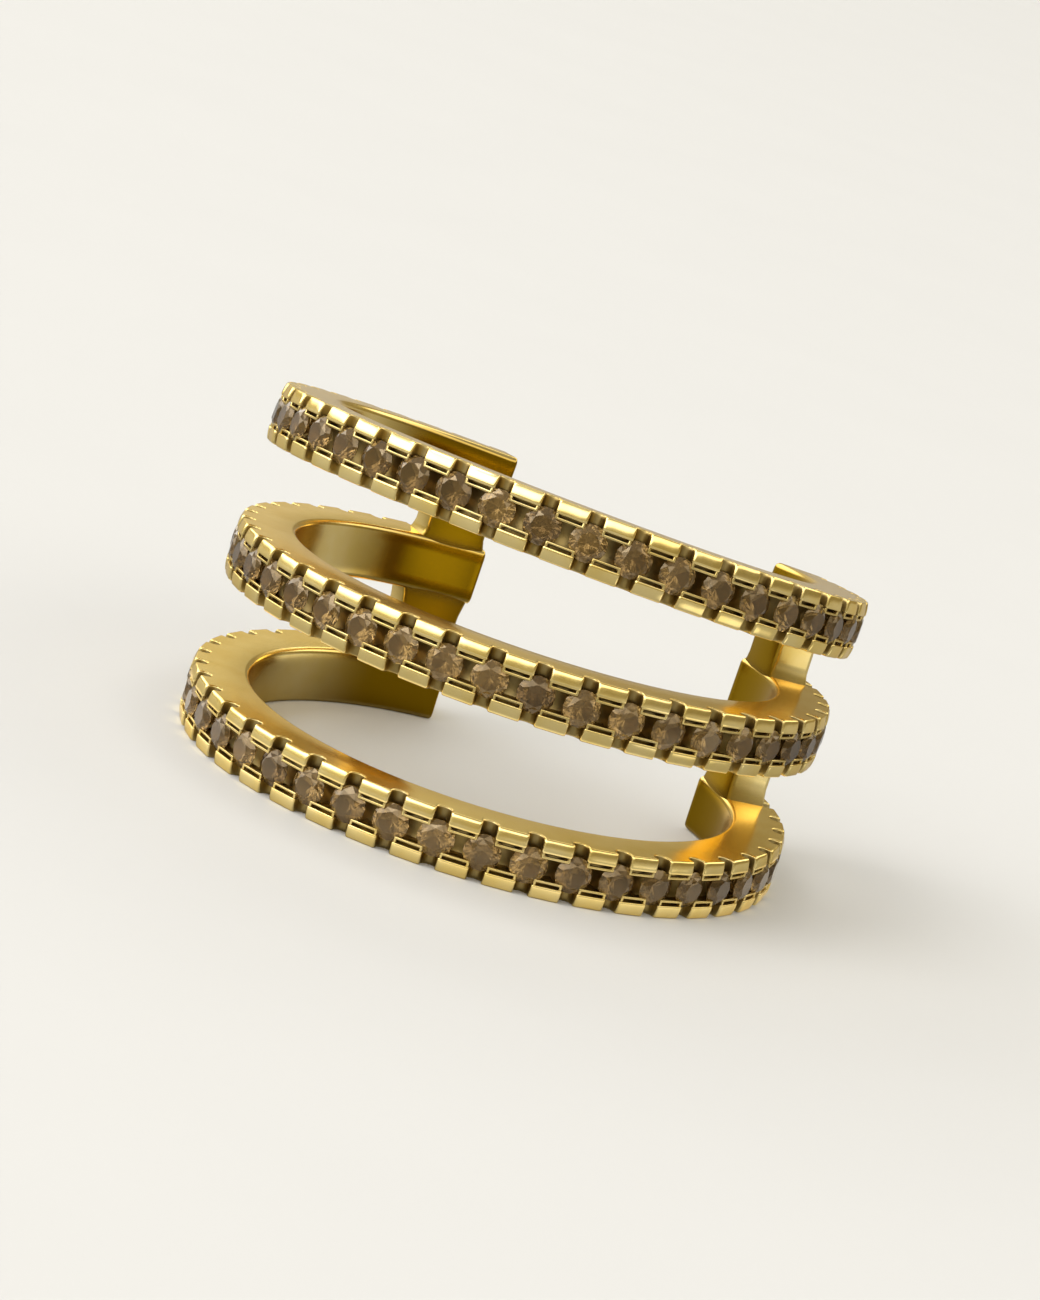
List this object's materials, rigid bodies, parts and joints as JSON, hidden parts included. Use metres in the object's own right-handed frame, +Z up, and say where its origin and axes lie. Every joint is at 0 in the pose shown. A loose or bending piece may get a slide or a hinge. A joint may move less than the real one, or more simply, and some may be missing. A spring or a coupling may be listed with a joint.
{
  "type": "ear cuff",
  "caption": "Open ear cuff of three fanned rings joined by short posts at both ends, each ring set with one row of small round stones between notched walls.",
  "frame": {"origin": "under the middle of the cuff's bounding box, on the surface that the lowest ring lies on", "axes": "+Z up along the lowest ring's axis, +Y out through the gap between the rings' ends, +X across the cuff"},
  "size_m": [0.0168, 0.0156, 0.0101],
  "materials": {
    "gold": "polished yellow gold plate",
    "stone": "cut and polished brown stone, foiled behind"
  },
  "bodies": {
    "root": {"cuff_frame": "gold", "stone_row_bottom": "stone", "stone_row_middle": "stone", "stone_row_top": "stone"}
  },
  "joints": []
}
